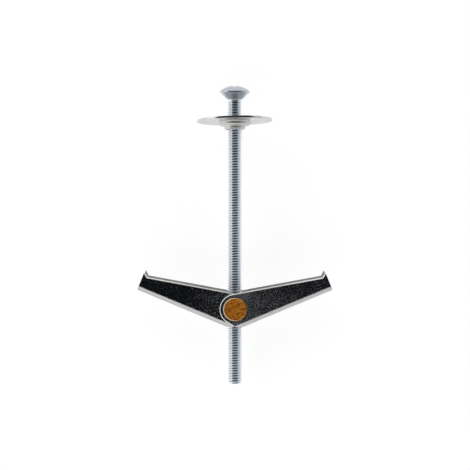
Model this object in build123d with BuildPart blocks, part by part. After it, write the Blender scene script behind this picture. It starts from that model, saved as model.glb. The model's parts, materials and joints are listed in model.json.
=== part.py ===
"""Spring toggle bolt for hollow walls: bolt, cupped washer, cross nut, spring and two folding wings.

Lengths are in millimetres and angles in degrees. The part lies as it comes to rest on a table:
the washer stands on its rim and the cross nut on the edge of its lower end.
X runs along the open wings, Y along the bolt towards its head, and Z up from the table.
"""
import os
from math import acos, asin, atan2, cos, hypot, pi, radians, sin, sqrt, tan

from build123d import *

os.makedirs("parts", exist_ok=True)

# Bolt: a raised countersunk machine screw; its fine thread is left to the visual model
bolt_diameter = 4.0
bolt_length = 80.0
tail_length = 21.0
tail_chamfer = 0.4
head_diameter = 8.1
head_cone_angle = 90.0
head_land = 0.35
head_dome = 1.35
neck_fillet = 0.3
recess_span = 4.4
recess_arm = 1.0
recess_depth = 2.2
recess_tip = 1.1

# Washer: a wide sheet disc with a pressed cup for the bolt's head
washer_diameter = 20.6
washer_sheet = 0.6
washer_gap = 7.6
washer_yaw = 1.3
washer_bend = 0.5
washer_hole_play = 0.3
cup_mouth_play = 0.1

# Cross nut: a round bar with a tapped hole across it
nut_diameter = 6.4
nut_chamfer = 0.25
nut_proud = 0.3
thread_clearance = 0.03

# Wings: one folded sheet stamping, used twice
wing_length = 26.6
wing_sheet = 0.75
wing_open_angle = 22.65
wing_taper_angle = 12.1
wing_bend = 0.7
ear_wall = 0.8
web_clearance = 0.75
apex_drop = 4.8
tooth_width = 1.3
tooth_rise = 1.33
stop_gap = 0.2
pivot_clearance = 0.05
cheek_clearance = 0.08

# Spring: two coils round the cross nut, two legs in one wing and a loop in the other
wire_diameter = 0.6
coil_turns = 1
coil_gap = 0.1
coil_clearance = 0.06
leg_reach = 10.0
leg_clearance = 0.03

# Length by which a cut runs past what it cuts
overrun = 1.0

# Sizes that follow from the ones above
bolt_radius = bolt_diameter / 2
head_radius = head_diameter / 2
nut_radius = nut_diameter / 2
wire_radius = wire_diameter / 2
washer_radius = washer_diameter / 2
open_turn = radians(wing_open_angle)
taper_turn = radians(wing_taper_angle)
ear_radius = nut_radius + ear_wall
web_inner = ear_radius + web_clearance
web_outer = web_inner + wing_sheet

# Stations along the bolt, from the cross nut's axis towards the head
cone_slope = 1 / tan(radians(head_cone_angle / 2))
tail_station = -tail_length
rim_station = bolt_length - tail_length
cone_station = rim_station - (head_radius - bolt_radius) * cone_slope
land_station = rim_station + head_land
top_station = land_station + head_dome
dome_radius = (head_radius**2 + head_dome**2) / (2 * head_dome)
dome_centre = top_station - dome_radius
cup_mouth = head_radius + cup_mouth_play
washer_station = rim_station + cup_mouth_play * cone_slope - washer_sheet - washer_gap

# Spring coil: its wires leave on tangents, the legs to a wing's inner bends and the loop to a web
coil_radius = nut_radius + coil_clearance + wire_radius
coil_pitch = wire_diameter + coil_gap
leg_space = wing_bend - wire_radius - leg_clearance
leg_aside = wing_bend - wire_radius - coil_clearance
leg_drop = web_inner - wing_bend + sqrt(leg_space**2 - leg_aside**2)
loop_drop = web_inner - wire_radius - leg_clearance
reach_turn = atan2(leg_reach, coil_radius)
coil_to_end = hypot(coil_radius, leg_reach)
leg_turn = open_turn - reach_turn + acos(leg_drop / coil_to_end)
loop_turn = open_turn - reach_turn + acos(loop_drop / coil_to_end)

# Layers along the cross nut's axis, from its middle outwards
coil_low = bolt_radius + coil_clearance + wire_radius
coil_high = coil_low + coil_turns * coil_pitch
inner_face = coil_high + wire_radius + coil_clearance
inner_outer_face = inner_face + wing_sheet
outer_face = inner_outer_face + cheek_clearance
outer_outer_face = outer_face + wing_sheet
nut_half = outer_outer_face + nut_proud
channel_width = inner_outer_face + outer_outer_face
channel_middle = (outer_outer_face - inner_outer_face) / 2
channel_inside = channel_width - 2 * wing_sheet

# The bolt's tilt as it lies on the washer's rim and on the nut's lower end
nut_edge = nut_radius - nut_chamfer
rest_reach = hypot(nut_half, washer_station + nut_edge)
tilt = asin(washer_radius / rest_reach) - atan2(nut_half, washer_station + nut_edge)
pivot_height = nut_half * cos(tilt) + nut_edge * sin(tilt)
front_end = dome_centre * cos(tilt) + dome_radius
back_end = tail_station * cos(tilt) - (bolt_radius - tail_chamfer) * sin(tilt)

# Frames: flat holds the bolt and has the nut's axis as its normal, along has the bolt as its normal,
# and between holds the bolt halfway between the arms of its recess
pivot = Vector(0, -(front_end + back_end) / 2, pivot_height)
span_way = Vector(1, 0, 0)
bolt_way = Vector(0, cos(tilt), sin(tilt))
nut_way = Vector(0, -sin(tilt), cos(tilt))
flat = Plane(origin=pivot, x_dir=span_way, z_dir=nut_way)
along = Plane(origin=pivot, x_dir=span_way, z_dir=bolt_way)
between = Plane(origin=pivot, x_dir=span_way + nut_way, z_dir=nut_way - span_way)
bolt_axis = Axis(pivot, bolt_way)
washer_turn = radians(washer_yaw)
washer_centre = pivot + bolt_way * washer_station
washer_way = Vector(-sin(washer_turn), cos(washer_turn), 0)
washer_flat = Plane(
    origin=washer_centre, x_dir=(cos(washer_turn), sin(washer_turn), 0), z_dir=(0, 0, 1)
)
washer_axis = Axis(washer_centre, washer_way)
coil_plane = Plane(
    origin=pivot + nut_way * coil_high,
    x_dir=span_way * sin(leg_turn) - bolt_way * cos(leg_turn),
    z_dir=-nut_way,
)


def on_web(out, up):
    """Turn a point given across and along the bolt into the wing's own directions."""
    return (
        out * cos(open_turn) + up * sin(open_turn),
        up * cos(open_turn) - out * sin(open_turn),
    )


def top_edge(reach):
    """Height of a wing's straight open edge, which is tangent to its ear."""
    return ear_radius / cos(taper_turn) - reach * tan(taper_turn)


def coil_point(turn, drop):
    """A point of the spring's coil, a turn from its leg and a drop towards the bolt."""
    return coil_plane.from_local_coords((coil_radius * cos(turn), coil_radius * sin(turn), drop))


def make_wing(side):
    """One wing: a folded channel trimmed to its side outline, with two eared cheeks."""
    level = Plane(origin=pivot, x_dir=span_way * side, z_dir=nut_way * side)
    web_way = level.x_dir * cos(open_turn) + level.y_dir * sin(open_turn)
    web = Plane(origin=pivot, x_dir=web_way, z_dir=level.z_dir)
    fold_start = web.from_local_coords((-ear_radius - overrun, -web_outer, channel_middle))
    fold = Plane(origin=fold_start, x_dir=-web.z_dir, z_dir=web.x_dir)
    fold_height = web_outer + ear_radius + overrun
    web_end = bolt_radius + stop_gap
    web_corner = (web_end - web_outer * sin(open_turn)) / cos(open_turn)
    ear_turn = acos(ear_radius / apex_drop)
    ear_low = on_web(-ear_radius * sin(ear_turn), -ear_radius * cos(ear_turn))
    ear_back = on_web(-ear_radius, 0)
    ear_top = (ear_radius * sin(taper_turn), ear_radius * cos(taper_turn))
    tooth_root = (wing_length - tooth_width, top_edge(wing_length - tooth_width))
    tooth_tip = (wing_length, top_edge(wing_length) + tooth_rise)
    with BuildPart() as wing:
        with BuildSketch(fold) as section:
            Rectangle(channel_width, fold_height, align=(Align.CENTER, Align.MIN))
            fillet(section.vertices().group_by(Axis.Y)[0], wing_bend + wing_sheet)
            with BuildSketch(mode=Mode.SUBTRACT) as hollow:
                with Locations((0, wing_sheet)):
                    Rectangle(channel_inside, fold_height, align=(Align.CENTER, Align.MIN))
                fillet(hollow.vertices().group_by(Axis.Y)[0], wing_bend)
        extrude(amount=ear_radius + wing_length + 2 * overrun)
        with BuildSketch(web.offset(-inner_outer_face - overrun)):
            with BuildLine():
                ThreePointArc(ear_low, ear_back, ear_top)
                Polyline(
                    ear_top,
                    tooth_root,
                    tooth_tip,
                    (wing_length, -web_outer),
                    (web_corner, -web_outer),
                    on_web(0, -apex_drop),
                    ear_low,
                )
            make_face()
        extrude(amount=channel_width + 2 * overrun, mode=Mode.INTERSECT)
        # The web stops short of the bolt; only the two cheeks pass it
        with BuildSketch(level.offset(-inner_face)):
            with Locations((web_end, 0)):
                Rectangle(
                    web_end + ear_radius + overrun,
                    web_outer / cos(open_turn) + overrun,
                    align=(Align.MAX, Align.MAX),
                )
        extrude(amount=channel_inside, mode=Mode.SUBTRACT)
        with BuildSketch(level.offset(-inner_outer_face - overrun)):
            Circle(nut_radius + pivot_clearance)
        extrude(amount=channel_width + 2 * overrun, mode=Mode.SUBTRACT)
    return wing.part


# Bolt
with BuildPart() as recess:
    with BuildSketch(along.offset(top_station + overrun)):
        Rectangle(recess_span + overrun, recess_arm)
        Rectangle(recess_arm, recess_span + overrun)
    extrude(amount=-(recess_depth + overrun))
    with BuildSketch(between):
        with BuildLine():
            recess_slope = (recess_span - recess_tip) / (2 * recess_depth)
            Polyline(
                (0, top_station + overrun),
                (recess_span / 2 + recess_slope * overrun, top_station + overrun),
                (recess_tip / 2, top_station - recess_depth),
                (0, top_station - recess_depth),
                close=True,
            )
        make_face()
    revolve(axis=bolt_axis, mode=Mode.INTERSECT)

with BuildPart() as bolt:
    with BuildSketch(between) as bolt_profile:
        dome_turn = asin(head_radius / dome_radius) / 2
        with BuildLine():
            Polyline(
                (0, top_station),
                (0, tail_station),
                (bolt_radius - tail_chamfer, tail_station),
                (bolt_radius, tail_station + tail_chamfer),
                (bolt_radius, cone_station),
                (head_radius, rim_station),
                (head_radius, land_station),
            )
            ThreePointArc(
                (head_radius, land_station),
                (dome_radius * sin(dome_turn), dome_centre + dome_radius * cos(dome_turn)),
                (0, top_station),
            )
        make_face()
        neck_corner = bolt_profile.vertices().sort_by_distance((bolt_radius, cone_station))[0]
        fillet(neck_corner, neck_fillet)
    revolve(axis=bolt_axis)
    add(recess.part, mode=Mode.SUBTRACT)
bolt.part.label = "bolt"
export_step(bolt.part, "parts/bolt.step")

# Washer
washer_hole = bolt_radius + washer_hole_play
cup_top = washer_sheet - (cup_mouth - washer_hole) * cone_slope
cup_wall = washer_sheet / sin(radians(head_cone_angle / 2))
cup_foot = cup_mouth + (cup_wall - washer_sheet) / cone_slope
with BuildPart() as washer:
    with BuildSketch(washer_flat) as washer_profile:
        with BuildLine():
            Polyline(
                (washer_radius, 0),
                (washer_radius, washer_sheet),
                (cup_mouth, washer_sheet),
                (washer_hole, cup_top),
                (washer_hole, cup_top - cup_wall),
                (cup_foot, 0),
                close=True,
            )
        make_face()
        upper_corner = washer_profile.vertices().sort_by_distance((cup_mouth, washer_sheet))[0]
        fillet(upper_corner, washer_bend + washer_sheet)
        lower_corner = washer_profile.vertices().sort_by_distance((cup_foot, 0))[0]
        fillet(lower_corner, washer_bend)
    revolve(axis=washer_axis)
washer.part.label = "washer"
export_step(washer.part, "parts/washer.step")

# Cross nut
with BuildPart() as cross_nut:
    with BuildSketch(flat.offset(-nut_half)):
        Circle(nut_radius)
    extrude(amount=2 * nut_half)
    chamfer(cross_nut.edges().filter_by(GeomType.CIRCLE), nut_chamfer)
    with BuildSketch(along.offset(-nut_radius - overrun)):
        Circle(bolt_radius + thread_clearance)
    extrude(amount=2 * (nut_radius + overrun), mode=Mode.SUBTRACT)
cross_nut.part.label = "cross_nut"
export_step(cross_nut.part, "parts/cross_nut.step")

# Spring: one half of the wire's path is worked out and the other is its mirror image
coil = []
for half_turn in range(2 * coil_turns):
    coil.append(
        ThreePointArc(
            coil_point(half_turn * pi, half_turn * coil_pitch / 2),
            coil_point((half_turn + 0.5) * pi, (half_turn + 0.5) * coil_pitch / 2),
            coil_point((half_turn + 1) * pi, (half_turn + 1) * coil_pitch / 2),
        )
    )
end_turn = leg_turn + loop_turn
end_drop = coil_turns * coil_pitch
coil.append(
    ThreePointArc(
        coil_point(0, end_drop), coil_point(end_turn / 2, end_drop), coil_point(end_turn, end_drop)
    )
)
leg = Line(coil[0] @ 0 - coil_plane.y_dir * leg_reach, coil[0] @ 0)
arm = Line(coil[-1] @ 1, coil[-1] @ 1 + (coil[-1] % 1) * (leg_reach - coil_low))
half_path = [leg, *coil, arm]
other_half = [edge.mirror(flat) for edge in half_path]
loop = Edge.make_tangent_arc(arm @ 1, arm % 1, other_half[-1] @ 1)
with BuildPart() as spring:
    with BuildLine() as spring_path:
        add(half_path)
        add(loop)
        add(other_half)
    with BuildSketch(Plane(origin=leg @ 0, z_dir=leg % 0)):
        Circle(wire_radius)
    sweep(path=spring_path.wires()[0])
spring.part.label = "spring"
export_step(spring.part, "parts/spring.step")

# Wings
for wing_name, wing_side in (("right_wing", 1), ("left_wing", -1)):
    wing_part = make_wing(wing_side)
    wing_part.label = wing_name
    export_step(wing_part, f"parts/{wing_name}.step")
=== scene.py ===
"""Looks of a spring toggle bolt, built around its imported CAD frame.

The file is laid out as a Blender add-on and is run as a script. Sizes are in metres unless a
comment says otherwise; local positions are in millimetres across the bolt, along it and up the nut.
"""
import json
from math import acos, atan2, ceil, cos, hypot, pi, radians, sin, sqrt, tan

import bmesh
import bpy
from mathutils import Matrix, Vector


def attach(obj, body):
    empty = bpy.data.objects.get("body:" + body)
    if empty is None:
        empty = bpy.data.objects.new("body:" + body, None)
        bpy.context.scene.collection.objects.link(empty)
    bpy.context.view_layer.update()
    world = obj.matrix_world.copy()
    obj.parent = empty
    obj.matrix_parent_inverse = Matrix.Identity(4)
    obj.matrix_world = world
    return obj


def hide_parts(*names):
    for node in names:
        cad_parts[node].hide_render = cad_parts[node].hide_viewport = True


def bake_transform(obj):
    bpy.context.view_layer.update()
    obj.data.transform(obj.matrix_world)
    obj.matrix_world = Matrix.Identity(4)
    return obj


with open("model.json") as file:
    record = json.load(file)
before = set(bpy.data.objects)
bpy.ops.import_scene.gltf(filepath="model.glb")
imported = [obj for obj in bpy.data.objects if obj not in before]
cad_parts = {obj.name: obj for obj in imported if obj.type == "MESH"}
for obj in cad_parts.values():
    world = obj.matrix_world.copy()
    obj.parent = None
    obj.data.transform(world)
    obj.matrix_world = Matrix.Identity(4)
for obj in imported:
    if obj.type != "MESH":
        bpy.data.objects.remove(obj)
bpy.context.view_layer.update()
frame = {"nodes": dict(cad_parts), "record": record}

bl_info = {
    "name": "Spring toggle bolt",
    "version": (1, 0, 0),
    "blender": (4, 5, 0),
    "location": "3D View > Sidebar > Toggle bolt",
    "description": "Builds the threaded bolt, washer, cross nut, spring and wings of a toggle bolt",
    "category": "Object",
}

# One millimetre in the frame's metres
MM = 0.001

# The bolt's frame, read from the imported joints
packed_joints = {joint["name"]: joint for joint in frame["record"]["behaviour"]["joints"]}
pivot = Vector(packed_joints["right_wing_fold"]["pos_m"])
bolt_way = Vector(packed_joints["toggle_travel"]["axis"]).normalized()
nut_way = Vector(packed_joints["right_wing_fold"]["axis"]).normalized()
span_way = bolt_way.cross(nut_way).normalized()
bolt_tilt = atan2(bolt_way.z, bolt_way.y)

# Stations along the bolt, in millimetres from the pivot towards the head
tail_station = -21.0
washer_station = 50.9
head_start = 56.45
thread_end = 56.5
neck_cut = 56.6
cone_station = 56.8
rim_station = 58.85
land_station = 59.2
top_station = 60.7

# Other sizes in millimetres and turns in radians
bolt_radius = 2.0
head_radius = 4.05
washer_radius = 10.3
washer_turn = radians(1.3)
cup_mouth = 4.15
nut_radius = 3.2
web_inner = 4.75
wing_bend = 0.7
wing_turn = radians(22.65)
ear_radius = 4.0
taper_turn = radians(12.1)


def place(across, along, up):
    """A point given in millimetres across the bolt, along it and up the cross nut."""
    return pivot + (span_way * across + bolt_way * along + nut_way * up) * MM


washer_centre = place(0, washer_station, 0)


def length_setting(label, description, millimetres):
    """A length for the sidebar."""
    return bpy.props.FloatProperty(
        name=label, description=description, default=millimetres * MM,
        subtype="DISTANCE", unit="LENGTH",
    )


def colour_setting(label, description, default):
    """A colour for the sidebar."""
    return bpy.props.FloatVectorProperty(
        name=label, description=description, default=default, size=3, subtype="COLOR",
    )


class BoltSettings(bpy.types.PropertyGroup):
    """Sizes and colours of the bolt."""

    radius: length_setting("Radius", "Radius over the thread's crests", bolt_radius)
    pitch: length_setting("Pitch", "Travel of the thread in one turn", 0.7)
    depth: length_setting("Depth", "Depth of the thread", 0.43)
    segments: bpy.props.IntProperty(
        name="Segments", description="Facets in one turn of the thread", default=40, min=12,
    )
    crest_colour: colour_setting(
        "Crest colour", "Bright zinc on the crests of the thread", (0.765, 0.805, 0.86),
    )
    # Root colour: the thread's zinc darkened by painted shade in its roots
    root_shade_colour: colour_setting(
        "Root colour", "Dark zinc between the crests", (0.665, 0.715, 0.77),
    )
    # Head colour: the head's zinc darkened by painted shade
    head_shade_colour: colour_setting("Head colour", "Duller zinc on the head", (0.47, 0.515, 0.56))
    haze_colour: colour_setting("Haze colour", "Faint clouds in the zinc", (0.32, 0.35, 0.39))


class WasherSettings(bpy.types.PropertyGroup):
    """Sizes and colours of the washer."""

    rim_rounding: length_setting("Rim rounding", "Radius left by the blanking die", 0.06)
    sheet_colour: colour_setting(
        "Sheet colour", "Zinc on the flat of the disc", (0.485, 0.485, 0.50),
    )
    cloud_colour: colour_setting("Cloud colour", "Duller clouds in the zinc", (0.42, 0.42, 0.435))
    rim_colour: colour_setting("Rim colour", "Zinc on the sheared rim", (0.62, 0.63, 0.63))
    cup_colour: colour_setting("Cup colour", "Dull zinc on the drawn cup", (0.70, 0.70, 0.685))


class NutSettings(bpy.types.PropertyGroup):
    """Colours of the cross nut."""

    brass_colour: colour_setting(
        "Brass colour", "Brass between the saw's lines", (0.935, 0.43, 0.06),
    )
    line_colour: colour_setting("Line colour", "Tarnish in the saw's lines", (0.48, 0.15, 0.016))
    rim_colour: colour_setting(
        "Rim colour", "Bright brass on the turned chamfer", (0.72, 0.53, 0.32),
    )


class SpringSettings(bpy.types.PropertyGroup):
    """Sizes and colours of the spring."""

    wire_radius: length_setting("Wire radius", "Radius of the spring's wire", 0.3)
    wire_sides: bpy.props.IntProperty(
        name="Wire sides", description="Facets round the wire", default=16, min=8,
    )
    wire_colour: colour_setting("Wire colour", "Drawn steel", (0.42, 0.42, 0.44))
    oxide_colour: colour_setting("Oxide colour", "Thin oxide on the wire", (0.28, 0.27, 0.27))


class WingSettings(bpy.types.PropertyGroup):
    """Sizes and colours of the wings."""

    edge_rounding: length_setting(
        "Edge rounding", "Radius that stamping leaves on the sheet's edges", 0.25,
    )
    burr_rounding: length_setting("Burr rounding", "Radius left on the sheet's other edges", 0.14)
    near_fullness: length_setting(
        "Near fullness", "How far the upper cheeks stand out at ear and open edge", 0.15,
    )
    far_fullness: length_setting(
        "Far fullness", "How far the lower cheeks stand out at the open edge", -0.09,
    )
    sheet_colour: colour_setting(
        "Sheet colour", "Pale flecks of the zinc on the cheeks", (0.61, 0.625, 0.655),
    )
    fleck_colour: colour_setting(
        "Fleck colour", "Dark flecks of the zinc on the cheeks", (0.11, 0.125, 0.16),
    )
    bend_colour: colour_setting(
        "Bend colour", "Smooth zinc on the bends and the web", (0.535, 0.535, 0.535),
    )
    # Painted highlight: paler zinc where a bend starts
    highlight_colour: colour_setting(
        "Worn colour", "Zinc rubbed pale where a bend starts", (0.91, 0.91, 0.91),
    )
    edge_colour: colour_setting("Edge colour", "Zinc on the sheared edges", (0.82, 0.82, 0.80))
    tear_colour: colour_setting("Tear colour", "Duller specks on those edges", (0.60, 0.61, 0.60))
    # Painted shade: the left side's cheeks get fewer pale flecks
    left_fleck_shade: bpy.props.FloatProperty(
        name="Left sparseness", description="How much sparser the left side's pale flecks are",
        default=0.06, min=0.0, max=0.3, subtype="FACTOR",
    )
    # Painted shade: the left wing's bends are a little darker than the right one's
    left_bend_shade: bpy.props.FloatProperty(
        name="Left bend tone", description="Tone of the left wing's bends beside the right one's",
        default=0.97, min=0.0, max=1.0, subtype="FACTOR",
    )


class StageSettings(bpy.types.PropertyGroup):
    """Floor, light and camera."""

    floor_colour: colour_setting("Floor colour", "Colour of the plain floor", (0.4, 0.4, 0.4))
    floor_glow: bpy.props.FloatProperty(
        name="Floor glow", description="What whitens the floor as the camera sees it", default=0.845,
    )
    wall_level: bpy.props.FloatProperty(
        name="Wall level", description="Brightness of the pale walls round the object", default=1.0,
    )
    wall_slope: bpy.props.FloatVectorProperty(
        name="Wall slope", description="Change of the walls' brightness along X and Y", size=2,
        default=(-0.32, -0.05),
    )
    ceiling_level: bpy.props.FloatProperty(
        name="Ceiling level", description="Brightness of the dark ceiling over it", default=0.04,
    )
    ceiling_angles: bpy.props.FloatVectorProperty(
        name="Ceiling angles", description="Reach of the dark ceiling along X, -Y and +Y", size=3,
        subtype="EULER", unit="ROTATION", default=(radians(60), radians(44), radians(42)),
    )
    camera_place: bpy.props.FloatVectorProperty(
        name="Camera place", description="Where the camera stands", size=3, subtype="XYZ",
        unit="LENGTH", default=(0.00006, -0.0096, 0.3910),
    )
    camera_tilt: bpy.props.FloatProperty(
        name="Camera tilt", description="Tilt of the camera from straight down", subtype="ANGLE",
        unit="ROTATION", default=0.0254,
    )
    camera_lens: bpy.props.FloatProperty(
        name="Camera lens", description="Focal length in millimetres", subtype="DISTANCE_CAMERA",
        unit="CAMERA", default=107.2,
    )


class ToggleBoltSettings(bpy.types.PropertyGroup):
    """All settings of the toggle bolt."""

    bolt: bpy.props.PointerProperty(type=BoltSettings, name="Bolt", description="Bolt")
    washer: bpy.props.PointerProperty(type=WasherSettings, name="Washer", description="Washer")
    nut: bpy.props.PointerProperty(type=NutSettings, name="Cross nut", description="Cross nut")
    spring: bpy.props.PointerProperty(type=SpringSettings, name="Spring", description="Spring")
    wings: bpy.props.PointerProperty(type=WingSettings, name="Wings", description="Wings")
    stage: bpy.props.PointerProperty(type=StageSettings, name="Stage", description="Stage")


class Tone:
    """A node socket; Python's operators on it add Math nodes to its tree."""

    def __init__(self, tree, socket):
        self.tree = tree
        self.socket = socket

    def node(self, kind, settings=None, inputs=None, output=0):
        """Add any node by its type, settings and inputs, and give back one of its outputs."""
        made = self.tree.nodes.new(kind)
        for name, value in (settings or {}).items():
            setattr(made, name, value)
        for name, value in (inputs or {}).items():
            if isinstance(value, Tone):
                self.tree.links.new(value.socket, made.inputs[name])
            else:
                made.inputs[name].default_value = value
        return Tone(self.tree, made.outputs[output])

    def maths(self, operation, *others):
        """A Math node on this value and others."""
        inputs = dict(enumerate((self, *others)))
        return self.node("ShaderNodeMath", {"operation": operation}, inputs)

    def __add__(self, other):
        return self.maths("ADD", other)

    def __sub__(self, other):
        return self.maths("SUBTRACT", other)

    def __mul__(self, other):
        return self.maths("MULTIPLY", other)

    def __truediv__(self, other):
        return self.maths("DIVIDE", other)

    def __rsub__(self, other):
        return self.node("ShaderNodeMath", {"operation": "SUBTRACT"}, {0: other, 1: self})

    __radd__ = __add__

    def beside(self, other):
        """The length of two parts at right angles to each other."""
        return (self * self + other * other).maths("SQRT")

    def ramp(self, low, high):
        """Nought below low, one above high and smooth between them."""
        settings = {"interpolation_type": "SMOOTHSTEP"}
        return self.node("ShaderNodeMapRange", settings, {0: self, 1: low, 2: high})

    def parts(self):
        """The three parts of a vector."""
        split = self.node("ShaderNodeSeparateXYZ", None, {0: self}).socket.node
        return [Tone(self.tree, socket) for socket in split.outputs]

    def noise(self, scale, detail=2.0, roughness=0.5):
        """Noise over this vector."""
        inputs = {"Vector": self, "Scale": scale, "Detail": detail, "Roughness": roughness}
        return self.node("ShaderNodeTexNoise", None, inputs)

    def stretch(self, scale):
        """This vector with its parts scaled."""
        inputs = {"Vector": self, "Scale": scale}
        return self.node("ShaderNodeMapping", None, inputs)

    def blend(self, first, second):
        """From the first colour to the second by this value."""
        inputs = {0: self, 6: rgba(first), 7: rgba(second)}
        return self.node("ShaderNodeMix", {"data_type": "RGBA"}, inputs, 2)

    def bump(self, strength, distance):
        """A bumped normal from this height."""
        inputs = {"Strength": strength, "Distance": distance, "Height": self}
        return self.node("ShaderNodeBump", None, inputs)


def rgba(colour):
    """A colour with its alpha, or a link as it is."""
    return colour if isinstance(colour, Tone) else (*colour[:3], 1.0)


def tinted(colour, paleness):
    """A colour made paler, or darker below one."""
    return [part * paleness for part in colour]


def new_finish(name, origin=pivot, turn=(bolt_tilt, 0, 0)):
    """A material, and millimetres from a point along a turned piece's own axes."""
    material = bpy.data.materials.new(name)
    material.use_nodes = True
    tree = material.node_tree
    coordinates = Tone(tree, tree.nodes.new("ShaderNodeTexCoord").outputs["Object"])
    inputs = {"Vector": coordinates, "Location": origin, "Rotation": turn, "Scale": (MM, MM, MM)}
    local = coordinates.node("ShaderNodeMapping", {"vector_type": "TEXTURE"}, inputs)
    return material, local


def feed(shader, **inputs):
    """Set or link a shader's inputs, whose names have underscores for spaces."""
    for name, value in inputs.items():
        socket = shader.inputs[name.replace("_", " ")]
        if isinstance(value, Tone):
            value.tree.links.new(value.socket, socket)
        else:
            socket.default_value = value


def metal(material, base, roughness, normal):
    """Give a material the colour, roughness and normal of a metal."""
    shader = material.node_tree.nodes["Principled BSDF"]
    feed(shader, Base_Color=base, Metallic=1.0, Roughness=roughness, Normal=normal)
    return material


def bolt_finish(settings):
    """Zinc: bright crests, roots darkened by painted shade, a rougher head darkened by painted shade
    with a painted highlight on its fillet, faint clouds and fine scratches.
    """
    material, local = new_finish("bolt_zinc")
    across, along, up = local.parts()
    radius = across.beside(up)
    crest = settings.radius / MM
    root = crest - settings.depth / MM
    in_thread = 1 - along.ramp(thread_end - 0.2, thread_end + 0.1)
    # Painted shade: the roots between the crests take a darker colour
    painted_root_shade = (1 - radius.ramp(root + 0.04, crest - 0.04)) * in_thread
    clouds = local.noise(0.55, 3.0)
    grain = local.noise(9.0, 3.0, 0.6)
    scratches = local.stretch((1.2, 14.0, 1.2)).noise(1.0, 2.0)
    # Painted shade: the head takes a darker zinc than the thread
    base = in_thread.blend(settings.head_shade_colour, settings.crest_colour)
    base = painted_root_shade.blend(base, settings.root_shade_colour)
    dull = (clouds * 0.5 + grain * 0.5).ramp(0.25, 0.7) * 0.15
    base = dull.blend(base, settings.haze_colour)
    on_cone = (1 - along.ramp(rim_station - 0.1, rim_station + 0.1)) * (1 - in_thread)
    past_fillet = along.ramp(cone_station + 0.15, cone_station + 0.45)
    # Painted highlight: a paler band of zinc on the fillet under the cone
    fillet_highlight = along.ramp(cone_station - 0.5, cone_station - 0.3) * (1 - past_fillet)
    # Painted shade on the cone: the head's darkened zinc, a little paler
    base = on_cone.blend(base, tinted(settings.head_shade_colour, 1.22))
    base = fillet_highlight.blend(base, tinted(settings.crest_colour, 1.15))
    roughness = 0.05 + grain * 0.06 + on_cone * 0.14 + (1 - in_thread) * 0.08
    normal = (grain * 0.6 + scratches * 0.4).bump(0.04, 0.05 * MM)
    return metal(material, base, roughness, normal)


def washer_finish(settings):
    """Zinc on rolled sheet: soft clouds, circles from pressing, a dull cup and a dark rim."""
    material, local = new_finish("washer_zinc", washer_centre, (0, 0, washer_turn))
    across, along, up = local.parts()
    radius = across.beside(up)
    clouds = local.noise(0.32, 3.0)
    grain = local.noise(6.0, 3.0, 0.6)
    circles = (radius * 5.0 + clouds * 2.0).maths("SINE") * 0.5 + 0.5
    base = (clouds * 0.7 + grain * 0.3).ramp(0.35, 0.7).blend(
        settings.sheet_colour, settings.cloud_colour
    )
    cup = 1 - radius.ramp(cup_mouth + 0.05, cup_mouth + 0.65)
    base = cup.blend(base, settings.cup_colour)
    rim = radius.ramp(washer_radius - 0.1, washer_radius - 0.03)
    base = rim.blend(base, settings.rim_colour)
    roughness = 0.14 + (1 - rim) * (clouds * 0.12 + grain * 0.06) + cup * 0.28
    normal = (grain * 0.7 + circles * 0.12).bump(0.06, 0.05 * MM)
    return metal(material, base, roughness, normal)


def nut_finish(settings):
    """Sawn brass: lines across the ends, a bright chamfer and turned sides."""
    saw_turn = radians(12)
    material, local = new_finish("nut_brass", pivot, (bolt_tilt, 0, saw_turn))
    across, along = local.parts()[:2]
    radius = across.beside(along)
    lines = local.stretch((0.3, 3.4, 1.0)).noise(1.0, 4.0, 0.65)
    fine = local.stretch((0.8, 12.0, 12.0)).noise(1.0, 2.0)
    blots = local.noise(1.3, 3.0, 0.6)
    dark = (lines * 0.6 + blots * 0.4).ramp(0.43, 0.57)
    base = dark.blend(settings.brass_colour, settings.line_colour)
    rim = radius.ramp(nut_radius - 0.22, nut_radius - 0.17)
    base = rim.blend(base, settings.rim_colour)
    roughness = 0.62 + lines * 0.16 - rim * 0.34
    normal = (lines * 0.6 + fine * 0.4).bump(0.35, 0.06 * MM)
    return metal(material, base, roughness, normal)


def spring_finish(settings):
    """Drawn steel wire with a thin oxide."""
    material, local = new_finish("spring_wire")
    grain = local.noise(5.0, 3.0, 0.6)
    clouds = local.noise(0.6, 2.0)
    base = clouds.ramp(0.35, 0.7).blend(settings.wire_colour, settings.oxide_colour)
    roughness = 0.26 + grain * 0.2
    normal = grain.bump(0.12, 0.03 * MM)
    return metal(material, base, roughness, normal)


def cheek_finish(settings):
    """Speckled zinc on the cheeks: pale rough flecks on dark ones, thinned by painted shade towards
    the tips and on the left.
    """
    material, local = new_finish("wing_cheek_zinc")
    across, along = local.parts()[:2]
    reach = across.beside(along)
    flecks = local.noise(3.4, 2.0, 0.75)
    clouds = local.noise(0.3, 3.0)
    grain = local.noise(11.0, 2.0)
    left = 1 - across.ramp(0.2 - ear_radius, -1.0)
    mixed = flecks * 0.85 + clouds * 0.15 + 0.03
    # Painted shade: the pale flecks thin out towards the tips and on the left
    mixed = mixed - reach.ramp(2.0, 18.0) * 0.075 - left * settings.left_fleck_shade
    pale = mixed.ramp(0.48, 0.57)
    base = pale.blend(settings.fleck_colour, settings.sheet_colour)
    roughness = 0.10 + grain * 0.06 + pale * 0.32
    normal = (flecks * 0.7 + grain * 0.3).bump(0.10, 0.06 * MM)
    return metal(material, base, roughness, normal)


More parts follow.
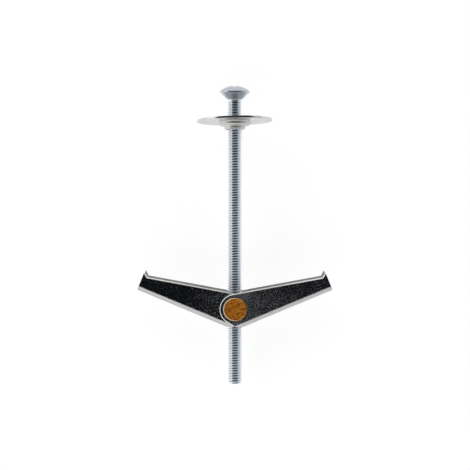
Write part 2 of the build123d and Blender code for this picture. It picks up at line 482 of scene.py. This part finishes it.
def bend_finish(name, settings, paleness, side, dullness=0.0, highlight_share=1.0):
    """Smooth zinc on the bends and the web: fine lines along the wing, and a pale rough painted
    highlight where a bend starts.
    """
    material, local = new_finish(name)
    turn = {"Vector": local, "Rotation": (0, 0, side * wing_turn)}
    local = local.node("ShaderNodeMapping", {"vector_type": "TEXTURE"}, turn)
    lines = local.stretch((0.25, 6.0, 6.0)).noise(1.0, 3.0, 0.6)
    clouds = local.noise(0.4, 2.0)
    dull = (lines * 0.6 + clouds * 0.4).ramp(0.35, 0.7)
    # paleness carries painted light and shade: the left wing's bends darker, the channel's inside
    # paler
    smooth = tinted(settings.bend_colour, paleness)
    base = dull.blend(smooth, tinted(smooth, 0.86))
    height = local.parts()[1]
    # Painted highlight: a pale, rough band on the bend beside the cheek
    bend_highlight = height.ramp(-web_inner - 0.15, -web_inner + 0.45) * highlight_share
    base = bend_highlight.blend(base, settings.highlight_colour)
    roughness = 0.20 + dullness + lines * 0.12 + bend_highlight * 0.4
    normal = lines.bump(0.03, 0.03 * MM)
    return metal(material, base, roughness, normal)


def edge_finish(settings):
    """Bright zinc over the rounded and sheared edges of the sheet."""
    material, local = new_finish("wing_edge_zinc")
    tears = local.stretch((7.0, 7.0, 0.8)).noise(1.0, 2.0)
    grain = local.noise(4.0, 3.0, 0.6)
    base = grain.ramp(0.45, 0.8).blend(settings.edge_colour, settings.tear_colour)
    roughness = 0.14 + tears * 0.12
    normal = (tears * 0.7 + grain * 0.3).bump(0.06, 0.04 * MM)
    return metal(material, base, roughness, normal)


def new_piece(name, mesh):
    """An object at the origin that carries a mesh."""
    piece = bpy.data.objects.new(name, mesh)
    bpy.context.scene.collection.objects.link(piece)
    return piece


def mesh_from(name, shape):
    """A mesh from a bmesh, with its normals outwards."""
    bmesh.ops.recalc_face_normals(shape, faces=shape.faces)
    bmesh.ops.triangulate(shape, faces=[face for face in shape.faces if len(face.verts) > 4])
    mesh = bpy.data.meshes.new(name)
    shape.to_mesh(mesh)
    shape.free()
    return mesh


def shade(piece, angle):
    """Smooth shading up to an angle between faces, led by the largest faces."""
    piece.data.shade_smooth()
    piece.data.set_sharp_from_angle(angle=angle)
    modifier = piece.modifiers.new("shade", "WEIGHTED_NORMAL")
    modifier.keep_sharp = True
    modifier.weight = 100
    plain_mesh(piece)


def turned(profile, segments, ring_shaped=False):
    """A closed bmesh turned about Z from radii and heights; a solid one ends on the axis."""
    shape = bmesh.new()
    rings = []
    for radius, height in profile:
        if radius == 0:
            rings.append([shape.verts.new((0, 0, height))])
            continue
        ring = []
        for step in range(segments):
            angle = 2 * pi * step / segments
            ring.append(shape.verts.new((radius * cos(angle), radius * sin(angle), height)))
        rings.append(ring)
    if ring_shaped:
        rings.append(rings[0])
    join_rings(shape, rings, segments)
    return shape


def join_rings(shape, rings, segments):
    """Faces between each ring and the next."""
    for lower, upper in zip(rings, rings[1:]):
        for step in range(segments):
            after = (step + 1) % segments
            if len(lower) == 1:
                shape.faces.new((lower[0], upper[after], upper[step]))
            elif len(upper) == 1:
                shape.faces.new((lower[step], lower[after], upper[0]))
            else:
                shape.faces.new((lower[step], lower[after], upper[after], upper[step]))


def arc(centre_radius, centre_height, radius, first, last, steps):
    """Points of a profile's arc, from one angle to another."""
    points = []
    for step in range(steps + 1):
        angle = first + (last - first) * step / steps
        points.append((centre_radius + radius * cos(angle), centre_height + radius * sin(angle)))
    return points


def apply_boolean(piece, cutter, operation):
    """Cut one piece with another and keep the result as a plain mesh."""
    modifier = piece.modifiers.new("cut", "BOOLEAN")
    modifier.operation = operation
    modifier.object = cutter
    modifier.solver = "EXACT"
    plain_mesh(piece)
    bpy.data.objects.remove(cutter)


def plain_mesh(piece):
    """Turn a piece's modifiers into its mesh."""
    graph = bpy.context.evaluated_depsgraph_get()
    mesh = bpy.data.meshes.new_from_object(piece.evaluated_get(graph))
    piece.modifiers.clear()
    piece.data = mesh


def add_tree(piece, tree, values):
    """Give a piece a Geometry Nodes modifier with its inputs set by name."""
    modifier = piece.modifiers.new(tree.name, "NODES")
    modifier.node_group = tree
    for item in tree.interface.items_tree:
        if item.in_out == "INPUT" and item.name in values:
            modifier[item.identifier] = values[item.name]
    plain_mesh(piece)


def new_tree(name, inputs):
    """A Geometry Nodes tree with named inputs, and those inputs by name."""
    tree = bpy.data.node_groups.new(name, "GeometryNodeTree")
    tree.interface.new_socket(name="Geometry", in_out="OUTPUT", socket_type="NodeSocketGeometry")
    tree.interface.new_socket(name="Geometry", in_out="INPUT", socket_type="NodeSocketGeometry")
    for label, kind in inputs:
        tree.interface.new_socket(name=label, in_out="INPUT", socket_type="NodeSocket" + kind)
    group = tree.nodes.new("NodeGroupInput")
    sockets = {socket.name: Tone(tree, socket) for socket in group.outputs if socket.name}
    return tree, sockets


def end_tree(tree, geometry, material):
    """Realize Instances, Set Material and the tree's output."""
    real = geometry.node("GeometryNodeRealizeInstances", None, {0: geometry})
    painted = real.node("GeometryNodeSetMaterial", None, {"Geometry": real, "Material": material})
    output = tree.nodes.new("NodeGroupOutput")
    tree.links.new(painted.socket, output.inputs[0])


def thread_tree():
    """A thread as a helical grid, whose rows follow the crests."""
    tree, given = new_tree(
        "Thread",
        [
            ("Radius", "Float"), ("Pitch", "Float"), ("Depth", "Float"), ("Start", "Float"),
            ("Turns", "Int"), ("Rows", "Int"), ("Segments", "Int"), ("Tail", "Float"),
            ("Chamfer", "Float"), ("Fade", "Float"), ("Material", "Material"),
        ],
    )
    rows = given["Turns"] * given["Rows"]
    inputs = {
        "Size X": 1.0, "Size Y": 1.0,
        "Vertices X": given["Segments"] + 1, "Vertices Y": rows + 1,
    }
    grid = given["Radius"].node("GeometryNodeMeshGrid", None, inputs)
    position = grid.node("GeometryNodeInputPosition")
    round_part, row_part = position.parts()[:2]
    around = round_part + 0.5
    turn_count = ((row_part + 0.5) * rows + 0.25).maths("FLOOR") / given["Rows"]
    height = given["Start"] + (turn_count + around) * given["Pitch"]
    # Share of the depth by the distance from the crest: a round crest, straight flanks, a flat root
    crest_bend, flank_slope, flank_offset, fade_turns = 5.88, 2.853, 0.284, 0.8
    phase = ((turn_count + 0.5).maths("FRACT") - 0.5).maths("ABSOLUTE")
    flank = phase * flank_slope - flank_offset
    cut = (phase * phase * crest_bend).maths("MAXIMUM", flank).maths("MINIMUM", 1.0)
    fade = (given["Fade"] - height) / (given["Pitch"] * fade_turns)
    fade = fade.maths("MAXIMUM", 0.0).maths("MINIMUM", 1.0)
    radius = given["Radius"] - given["Depth"] * cut * fade
    tip = given["Radius"] - given["Chamfer"] + (height - given["Tail"]).maths("MAXIMUM", 0.0)
    radius = radius.maths("MINIMUM", tip)
    angle = around * (2 * pi)
    inputs = {0: radius * angle.maths("COSINE"), 1: radius * angle.maths("SINE"), 2: height}
    placed = height.node("ShaderNodeCombineXYZ", None, inputs)
    moved = grid.node("GeometryNodeSetPosition", None, {"Geometry": grid, "Position": placed})
    inputs = {"Geometry": moved, "Distance": 1e-7}
    joined = moved.node("GeometryNodeMergeByDistance", None, inputs)
    end_tree(tree, joined, given["Material"])
    return tree


def wire_tree():
    """A round wire along the edges of a mesh path."""
    tree, given = new_tree(
        "Wire", [("Wire Radius", "Float"), ("Sides", "Int"), ("Material", "Material")]
    )
    path = given["Geometry"].node("GeometryNodeMeshToCurve", None, {0: given["Geometry"]})
    inputs = {"Resolution": given["Sides"], "Radius": given["Wire Radius"]}
    ring = path.node("GeometryNodeCurvePrimitiveCircle", None, inputs)
    inputs = {"Curve": path, "Profile Curve": ring, "Fill Caps": True}
    tube = path.node("GeometryNodeCurveToMesh", None, inputs)
    end_tree(tree, tube, given["Material"])
    return tree


def cut_and_fill(shape, height, keep_above):
    """Cut an open bmesh at a height, keep one side and close it there."""
    geometry = shape.verts[:] + shape.edges[:] + shape.faces[:]
    bmesh.ops.bisect_plane(
        shape, geom=geometry, plane_co=(0, 0, height), plane_no=(0, 0, 1), dist=1e-9,
        clear_inner=keep_above, clear_outer=not keep_above,
    )
    edges = [edge for edge in shape.edges if edge.is_boundary]
    near = [edge for edge in edges if abs(edge.verts[0].co.z - height) < 1e-6]
    bmesh.ops.holes_fill(shape, edges=near, sides=0)


class TOGGLE_OT_bolt(bpy.types.Operator):
    """Make the threaded bolt with its raised countersunk head"""

    bl_idname = "toggle_bolt.bolt"
    bl_label = "Make bolt"

    def execute(self, context):
        settings = context.scene.toggle_bolt.bolt
        finish = bolt_finish(settings)
        tail, neck = tail_station * MM, neck_cut * MM
        start = tail - settings.pitch
        shank = new_piece("threaded_shank", bpy.data.meshes.new("threaded_shank"))
        add_tree(shank, thread_tree(), {
            "Radius": settings.radius, "Pitch": settings.pitch, "Depth": settings.depth,
            "Start": start, "Turns": ceil((neck - start) / settings.pitch) + 1, "Rows": 12,
            "Segments": settings.segments, "Tail": tail, "Chamfer": 0.4 * MM,
            "Fade": thread_end * MM, "Material": finish,
        })
        shape = bmesh.new()
        shape.from_mesh(shank.data)
        cut_and_fill(shape, tail, True)
        cut_and_fill(shape, neck, False)
        shank.data = mesh_from("threaded_shank", shape)
        head = self.make_head()
        self.cut_recess(head)
        turn = Matrix((span_way, -nut_way, bolt_way)).transposed().to_4x4()
        shape = bmesh.new()
        shape.from_mesh(shank.data)
        shape.from_mesh(head.data)
        shape.transform(Matrix.Translation(pivot) @ turn)
        bolt = new_piece("bolt_threaded", mesh_from("bolt_threaded", shape))
        bpy.data.objects.remove(shank)
        bpy.data.objects.remove(head)
        bolt.data.materials.append(finish)
        shade(bolt, radians(35))
        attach(bolt, "bolt")
        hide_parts("bolt")
        return {"FINISHED"}

    def make_head(self):
        """The neck, cone, rim and dome."""
        fillet, rim_round, corner, proud = 0.7, 0.2, 0.05, 0.004
        eighth = tan(pi / 8)
        dome_height = top_station - land_station
        dome_radius = (head_radius**2 + dome_height**2) / (2 * dome_height)
        dome_centre = top_station - dome_radius
        dome_edge = atan2(land_station - dome_centre, head_radius)
        profile = [(0, head_start), (bolt_radius + proud, head_start)]
        fillet_place = bolt_radius + fillet, cone_station - fillet * eighth
        profile += arc(*fillet_place, fillet, pi, pi * 0.75, steps=8)
        rim_place = head_radius - rim_round, rim_station + rim_round * eighth
        profile += arc(*rim_place, rim_round, -pi / 4, 0, steps=4)
        profile += [(head_radius, land_station - corner)]
        profile += arc(0, dome_centre, dome_radius, dome_edge, pi / 2, steps=16)[1:]
        profile[-1] = (0, top_station)
        shape = turned(profile, segments=72)
        shape.transform(Matrix.Scale(MM, 4))
        return new_piece("bolt_head", mesh_from("bolt_head", shape))

    def cut_recess(self, head):
        """Cut a tapered cross into the dome."""
        span, arm, depth, tip, past = 4.4, 1.0, 2.2, 1.1, 1.0
        wide = span / 2 + (span - tip) / (2 * depth) * past
        low, high = top_station - depth, top_station + past
        shape = turned([(0, low), (tip / 2, low), (wide, high), (0, high)], segments=48)
        shape.transform(Matrix.Scale(MM, 4))
        cutter = new_piece("recess", mesh_from("recess", shape))
        half, reach = arm / 2, wide + past
        shape = bmesh.new()
        rings = []
        for height in (low - past, high + past):
            ring = []
            for quarter in range(4):
                turn = Matrix.Rotation(quarter * pi / 2, 3, "Z")
                for corner in ((reach, -half), (reach, half), (half, half)):
                    ring.append(shape.verts.new(turn @ Vector((*corner, height)) * MM))
            shape.faces.new(ring)
            rings.append(ring)
        join_rings(shape, rings, len(rings[0]))
        cross = new_piece("cross", mesh_from("cross", shape))
        apply_boolean(cutter, cross, "INTERSECT")
        apply_boolean(head, cutter, "DIFFERENCE")


def merged_copy(node):
    """A CAD node's mesh as a bmesh of flat faces and facets."""
    shape = bmesh.new()
    shape.from_mesh(frame["nodes"][node].data)
    bmesh.ops.remove_doubles(shape, verts=shape.verts, dist=1e-6)
    bmesh.ops.dissolve_limit(
        shape, angle_limit=radians(0.5), verts=shape.verts, edges=shape.edges,
    )
    shape.normal_update()
    return shape


def round_edges(shape, chosen, rounding, segments, slot):
    """Round the sharp edges for which a test holds."""
    least = radians(25)
    sharp = []
    for edge in shape.edges:
        if len(edge.link_faces) == 2 and edge.calc_face_angle() > least and chosen(edge):
            sharp.append(edge)
    bmesh.ops.bevel(
        shape, geom=sharp, offset=rounding, offset_type="OFFSET", segments=segments,
        profile=0.34, affect="EDGES", clamp_overlap=True, material=slot,
    )
    shape.normal_update()


class TOGGLE_OT_washer(bpy.types.Operator):
    """Make the washer with its pressed cup"""

    bl_idname = "toggle_bolt.washer"
    bl_label = "Make washer"

    def execute(self, context):
        settings = context.scene.toggle_bolt.washer
        profile = self.profile(settings.rim_rounding / MM)
        shape = turned(profile, segments=128, ring_shaped=True)
        turn = Matrix.Rotation(washer_turn, 4, "Z") @ Matrix.Rotation(-pi / 2, 4, "X")
        shape.transform(Matrix.Translation(washer_centre) @ turn @ Matrix.Scale(MM, 4))
        washer = new_piece("washer_pressed", mesh_from("washer_pressed", shape))
        washer.data.materials.append(washer_finish(settings))
        shade(washer, radians(35))
        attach(washer, "washer")
        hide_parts("washer")
        return {"FINISHED"}

    def profile(self, rounding):
        """Radii and heights round the sheet: its rim, its face, the cup and its back."""
        sheet, hole, bend, flat = 0.6, 2.3, 0.5, 7.5
        hole_top = sheet - (cup_mouth - hole)
        hole_low = hole_top - sheet * sqrt(2)
        bend_centre = cup_mouth + (bend + sheet) * tan(pi / 8)
        edge = washer_radius - rounding
        points = arc(edge, rounding, rounding, -pi / 2, 0, steps=4)
        points += arc(edge, sheet - rounding, rounding, 0, pi / 2, steps=4)
        points += [(flat, sheet)]
        points += arc(bend_centre, -bend, bend + sheet, pi / 2, pi * 0.75, steps=8)
        # The hole's two broken corners
        points += [(hole + 0.08, hole_top + 0.08), (hole + 0.02, hole_top - 0.02)]
        points += [(hole, hole_top - 0.1), (hole, hole_low + 0.1)]
        points += [(hole + 0.03, hole_low + 0.03), (hole + 0.1, hole_low)]
        # The back of the cup: a round lip, a short neck, a full shoulder and a step to the disc
        lip, neck, shoulder, step = 0.3, 0.25, 0.55, 0.35
        lip_centre = 2.55, hole_low + lip
        neck_centre = 3.15, -1.4
        shoulder_centre = 3.75, -0.6
        step_centre = 4.65, -step
        points += arc(*lip_centre, lip, -pi / 2, 0, steps=6)
        points += arc(*neck_centre, neck, pi, pi / 2, steps=5)
        points += arc(*shoulder_centre, shoulder, -pi / 2, 0, steps=8)
        points += arc(*step_centre, step, pi, pi / 2, steps=6)
        points += [(flat, 0)]
        return points


class TOGGLE_OT_nut(bpy.types.Operator):
    """Finish the cross nut in sawn brass"""

    bl_idname = "toggle_bolt.nut"
    bl_label = "Finish cross nut"

    def execute(self, context):
        settings = context.scene.toggle_bolt.nut
        shape = merged_copy("cross_nut")
        round_edges(shape, self.at_end, rounding=0.04 * MM, segments=2, slot=0)
        nut = new_piece("nut_turned", mesh_from("nut_turned", shape))
        nut.data.materials.append(nut_finish(settings))
        shade(nut, radians(30))
        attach(nut, "toggle_nut")
        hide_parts("cross_nut")
        return {"FINISHED"}

    def at_end(self, edge):
        """Whether an edge is at one of the bar's ends."""
        near_end = 4.5 * MM
        return all(abs((vert.co - pivot).dot(nut_way)) > near_end for vert in edge.verts)


class TOGGLE_OT_spring(bpy.types.Operator):
    """Make the double torsion spring: coils, legs and loop"""

    bl_idname = "toggle_bolt.spring"
    bl_label = "Make spring"

    # Sizes in millimetres; bend_run is a short run beside the coils, and the legs and the loop's arms
    # are left straight
    clearance = 0.06
    gap = 0.1
    leg_clearance = 0.03
    leg_reach = 10.0
    bend_run = 3.0

    def execute(self, context):
        settings = context.scene.toggle_bolt.spring
        finish = spring_finish(settings)
        wire = settings.wire_radius / MM
        self.coil_radius = nut_radius + self.clearance + wire
        self.pitch = 2 * wire + self.gap
        self.coil_low = bolt_radius + self.clearance + wire
        self.coil_high = self.coil_low + self.pitch
        space = wing_bend - wire - self.leg_clearance
        aside = wing_bend - wire - self.clearance
        leg_drop = web_inner - wing_bend + sqrt(space**2 - aside**2)
        loop_drop = web_inner - wire - self.leg_clearance
        reach_turn = atan2(self.leg_reach, self.coil_radius)
        to_end = hypot(self.coil_radius, self.leg_reach)
        self.leg_turn = wing_turn - reach_turn + acos(leg_drop / to_end)
        loop_turn = wing_turn - reach_turn + acos(loop_drop / to_end)
        self.end_turn = self.leg_turn + loop_turn
        tree = wire_tree()
        values = {
            "Wire Radius": settings.wire_radius, "Sides": settings.wire_sides, "Material": finish,
        }
        coils = self.wire("spring_coils", [self.coil(1), self.coil(-1)], tree, values)
        legs = self.wire("spring_legs", [self.leg(1), self.leg(-1)], tree, values)
        loop = self.wire("spring_loop", [self.loop()], tree, values)
        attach(coils, "toggle_nut")
        start, end = self.bend_span(0, -self.bend_run)
        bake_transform(legs)
        start, end = self.bend_span(self.end_turn, self.bend_run)
        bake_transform(loop)
        for piece in (coils, legs, loop):
            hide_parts("spring")
        return {"FINISHED"}

    def around(self, turn, run=0.0):
        """Where the coil is after a turn from its leg, or the straight wire that leaves it there."""
        angle = self.leg_turn - pi / 2 - turn
        across = self.coil_radius * cos(angle) + sin(angle) * run
        along = self.coil_radius * sin(angle) - cos(angle) * run
        return across, along

    def bend_span(self, turn, run):
        """Where a straight wire starts and ends its bend towards a wing."""
        return place(*self.around(turn), 0), place(*self.around(turn, run), 0)

    def coil(self, side):
        """One full turn that climbs by the pitch, and the flat arc to the loop's arm."""
        steps, end_steps = 96, 8
        points = []
        for step in range(steps + 1):
            turn = 2 * pi * step / steps
            half = min(int(turn / pi), 1)
            drop = (half + (1 - cos(turn - half * pi)) / 2) * self.pitch / 2
            points.append((*self.around(turn), side * (self.coil_high - drop)))
        for step in range(1, end_steps + 1):
            turn = self.end_turn * step / end_steps
            points.append((*self.around(turn), side * self.coil_low))
        return points

    def leg(self, side):
        """A straight leg, from the coil outwards."""
        steps = 20
        points = []
        for step in range(steps + 1):
            run = -self.leg_reach * step / steps
            points.append((*self.around(0, run), side * self.coil_high))
        return points

    def loop(self):
        """Two arms and the round end that joins them."""
        straight = self.leg_reach - self.coil_low
        arm_steps, bend_steps = 16, 24
        arm = []
        for step in range(arm_steps + 1):
            run = straight * step / arm_steps
            arm.append((*self.around(self.end_turn, run), self.coil_low))
        bend = []
        for step in range(1, bend_steps):
            angle = pi / 2 - pi * step / bend_steps
            run = straight + self.coil_low * cos(angle)
            bend.append((*self.around(self.end_turn, run), self.coil_low * sin(angle)))
        back = [(x, y, -z) for x, y, z in reversed(arm)]
        return arm + bend + back

    def wire(self, name, paths, tree, values):
        """A round wire along paths given in local millimetres."""
        points, edges = [], []
        for path in paths:
            first = len(points)
            points += [place(*point) for point in path]
            edges += [(first + step, first + step + 1) for step in range(len(path) - 1)]
        mesh = bpy.data.meshes.new(name)
        mesh.from_pydata(points, edges, [])
        piece = new_piece(name, mesh)
        add_tree(piece, tree, values)
        shape = bmesh.new()
        shape.from_mesh(piece.data)
        piece.data = mesh_from(name, shape)
        piece.data.materials.append(values["Material"])
        shade(piece, radians(40))
        return piece


class TOGGLE_OT_wings(bpy.types.Operator):
    """Make the two wings with the rounded edges that stamping leaves"""

    bl_idname = "toggle_bolt.wings"
    bl_label = "Make wings"

    # Slots of a wing's finishes
    cheek_slot, bend_slot, edge_slot, inside_slot = range(4)

    # Limits in a wing's own plane, in millimetres along and over its web from the pivot
    clear_of_hole = 3.6
    ear_cut = -3.9
    open_edge_low = -2.6
    outline_low = -3.6
    outline_tip = 20.0
    tip = 26.5

    def execute(self, context):
        settings = context.scene.toggle_bolt.wings
        edge = edge_finish(settings)
        # Painted light: the channel's inside takes paler, rougher zinc than the bends, without their
        # painted highlight band
        inside = bend_finish(
            "wing_inside_lightened_zinc", settings, paleness=1.6, side=1, dullness=0.5, highlight_share=0.0,
        )
        cheek = cheek_finish(settings)
        # The left wing's bends take a darker tone, as painted shade
        for name, side, tone in (("right", 1, 1.0), ("left", -1, settings.left_bend_shade)):
            node = name + "_wing"
            self.along = span_way * side * cos(wing_turn) + bolt_way * sin(wing_turn)
            self.up = bolt_way * cos(wing_turn) - span_way * side * sin(wing_turn)
            shape = merged_copy(node)
            self.mark_faces(shape)
            self.fill_edges(shape, settings.near_fullness, settings.far_fullness)
            bmesh.ops.bisect_plane(
                shape, geom=shape.verts[:] + shape.edges[:] + shape.faces[:], dist=1e-7,
                plane_co=pivot + self.up * self.ear_cut * MM, plane_no=self.up,
            )
            round_edges(shape, self.on_top, settings.edge_rounding, 5, self.edge_slot)
            round_edges(shape, self.on_outline, settings.burr_rounding, 3, self.edge_slot)
            wing = new_piece(node + "_stamped", mesh_from(node + "_stamped", shape))
            bend = bend_finish(name + "_bend_zinc", settings, tone, side)
            for finish in (cheek, bend, edge, inside):
                wing.data.materials.append(finish)
            shade(wing, radians(35))
            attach(wing, node)
            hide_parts(node)
        return {"FINISHED"}

    def mark_faces(self, shape):
        """Slots of the faces: cheeks, bends and web, the sheet's cut edges, the channel's inside."""
        # Cosines of a face that lies along a cheek, square to one and along the web
        with_cheek, across_cheek, with_web = 0.99, 0.05, 0.985
        for face in shape.faces:
            flat = face.normal.dot(nut_way)
            web = abs(face.normal.dot(self.up))
            height = (face.calc_center_median() - pivot).dot(nut_way)
            if abs(flat) > with_cheek:
                face.material_index = self.cheek_slot if flat * height > 0 else self.inside_slot
            elif abs(flat) < across_cheek and web < with_web:
                face.material_index = self.edge_slot
            else:
                face.material_index = self.bend_slot

    def spot(self, vert):
        """A point's reach along the web and its height over it, from the pivot, in millimetres."""
        return (vert.co - pivot).dot(self.along) / MM, (vert.co - pivot).dot(self.up) / MM

    def fill_edges(self, shape, near, far):
        """Push the ears and the open edges out a little on the upper cheeks, in on the lower ones."""
        slack, fade_start, fade_run = 0.05, -3.0, 3.8
        ear_end = ear_radius * sin(taper_turn) + 0.02
        across_edge = self.up * cos(taper_turn) + self.along * sin(taper_turn)
        for vert in shape.verts:
            reach, height = self.spot(vert)
            upper = (vert.co - pivot).dot(nut_way) > 0
            over_edge = height * cos(taper_turn) + reach * sin(taper_turn)
            if abs(hypot(reach, height) - ear_radius) < slack and reach < ear_end:
                away = (self.along * reach + self.up * height).normalized()
                share = 1.0 if upper else min(max((reach - fade_start) / fade_run, 0.0), 1.0)
                vert.co += away * share * (near if upper else far)
            elif abs(over_edge - ear_radius) < slack and reach > 0:
                vert.co += across_edge * (near if upper else far)

    def on_top(self, edge):
        """Whether an edge bounds a cheek's outside along the open edge, the tooth or the ear."""
        if not any(face.material_index == self.cheek_slot for face in edge.link_faces):
            return False
        ear_low, ear_side = self.ear_cut - 0.05, -0.5
        spots = [self.spot(vert) for vert in edge.verts]
        for reach, height in spots:
            on_ear = reach < ear_side and height > ear_low
            if hypot(reach, height) <= self.clear_of_hole:
                return False
            if height <= self.open_edge_low and not on_ear:
                return False
        return min(reach for reach, height in spots) < self.tip

    def on_outline(self, edge):
        """Whether an edge is on the rest of the outline, clear of the pivot hole and the web's end."""
        for reach, height in (self.spot(vert) for vert in edge.verts):
            if hypot(reach, height) <= self.clear_of_hole:
                return False
            if height <= self.outline_low and reach <= self.outline_tip:
                return False
        return True


class TOGGLE_OT_stage(bpy.types.Operator):
    """Make the floor, the soft light and the camera"""

    bl_idname = "toggle_bolt.stage"
    bl_label = "Make stage"

    def execute(self, context):
        settings = context.scene.toggle_bolt.stage
        self.make_floor(settings)
        self.make_light(context.scene, settings)
        data = bpy.data.cameras.new("camera")
        data.lens = settings.camera_lens
        data.sensor_width = 36
        data.clip_start = 0.01
        camera = bpy.data.objects.new("camera", data)
        camera.location = settings.camera_place
        camera.rotation_euler = (settings.camera_tilt, 0, 0)
        context.scene.collection.objects.link(camera)
        context.scene.camera = camera
        context.scene.view_settings.view_transform = "Standard"
        return {"FINISHED"}

    def shown(self, tree):
        """One for what the camera sees, straight or in metal, and nought for other light."""
        path = tree.nodes.new("ShaderNodeLightPath")
        camera, glossy, through = (
            Tone(tree, path.outputs[name])
            for name in ("Is Camera Ray", "Is Glossy Ray", "Is Transmission Ray")
        )
        return camera.maths("MAXIMUM", glossy).maths("MAXIMUM", through)

    def make_floor(self, settings):
        """A plain pale floor that shows nearly white and keeps a soft shadow."""
        shape = bmesh.new()
        bmesh.ops.create_grid(shape, x_segments=1, y_segments=1, size=3.0)
        floor = new_piece("floor", mesh_from("floor", shape))
        material = bpy.data.materials.new("floor")
        material.use_nodes = True
        tree = material.node_tree
        shader = tree.nodes["Principled BSDF"]
        glow = self.shown(tree).blend((0.0, 0.0, 0.0), (1.0, 1.0, 1.0))
        feed(
            shader, Base_Color=rgba(settings.floor_colour), Roughness=0.9,
            Emission_Color=glow, Emission_Strength=settings.floor_glow,
        )
        floor.data.materials.append(material)

    def make_light(self, scene, settings):
        """Pale walls all round under a dark ceiling, as one soft world."""
        world = bpy.data.worlds.new("studio")
        world.use_nodes = True
        scene.world = world
        tree = world.node_tree
        background = tree.nodes["Background"]
        direction = Tone(tree, tree.nodes.new("ShaderNodeTexCoord").outputs["Generated"])
        across, along, up = direction.parts()
        side, front, back = (sin(angle) for angle in settings.ceiling_angles)
        softness = 0.08
        over_x = across / side
        over_y = (along - (back - front) / 2) / ((back + front) / 2)
        outside = over_x.beside(over_y).ramp(1 - softness, 1 + softness)
        outside = outside.maths("MAXIMUM", up.maths("LESS_THAN", 0.0))
        walls = settings.wall_level + across * settings.wall_slope[0] + along * settings.wall_slope[1]
        level = settings.ceiling_level + outside * (walls - settings.ceiling_level)
        camera = Tone(tree, tree.nodes.new("ShaderNodeLightPath").outputs["Is Camera Ray"])
        level = level + camera * (1 - level)
        tree.links.new(level.socket, background.inputs["Strength"])
        background.inputs["Color"].default_value = (1.0, 1.0, 1.0, 1.0)


class TOGGLE_PT_sidebar(bpy.types.Panel):
    """Lists the pieces and their settings"""

    bl_idname = "TOGGLE_PT_sidebar"
    bl_label = "Toggle bolt"
    bl_space_type = "VIEW_3D"
    bl_region_type = "UI"
    bl_category = "Toggle bolt"

    def draw(self, context):
        settings = context.scene.toggle_bolt
        for operator in operators:
            self.layout.operator(operator.bl_idname)
        for group in (settings.bolt, settings.washer, settings.nut, settings.spring,
                      settings.wings, settings.stage):
            box = self.layout.box()
            for name in group.bl_rna.properties.keys():
                if name not in ("rna_type", "name"):
                    box.prop(group, name)


settings_groups = (
    BoltSettings, WasherSettings, NutSettings, SpringSettings, WingSettings, StageSettings,
    ToggleBoltSettings,
)
operators = (
    TOGGLE_OT_bolt, TOGGLE_OT_washer, TOGGLE_OT_nut, TOGGLE_OT_spring, TOGGLE_OT_wings,
    TOGGLE_OT_stage,
)


def register():
    """Register the classes and hang the settings on the scene."""
    for kind in (*settings_groups, *operators, TOGGLE_PT_sidebar):
        bpy.utils.register_class(kind)
    bpy.types.Scene.toggle_bolt = bpy.props.PointerProperty(
        type=ToggleBoltSettings, name="Toggle bolt", description="Settings of the toggle bolt",
    )


def unregister():
    """Undo register."""
    del bpy.types.Scene.toggle_bolt
    for kind in reversed((*settings_groups, *operators, TOGGLE_PT_sidebar)):
        bpy.utils.unregister_class(kind)


def main():
    """Make every piece in order."""
    register()
    bpy.ops.toggle_bolt.bolt()
    bpy.ops.toggle_bolt.washer()
    bpy.ops.toggle_bolt.nut()
    bpy.ops.toggle_bolt.spring()
    bpy.ops.toggle_bolt.wings()
    bpy.ops.toggle_bolt.stage()


if __name__ == "__main__":
    main()
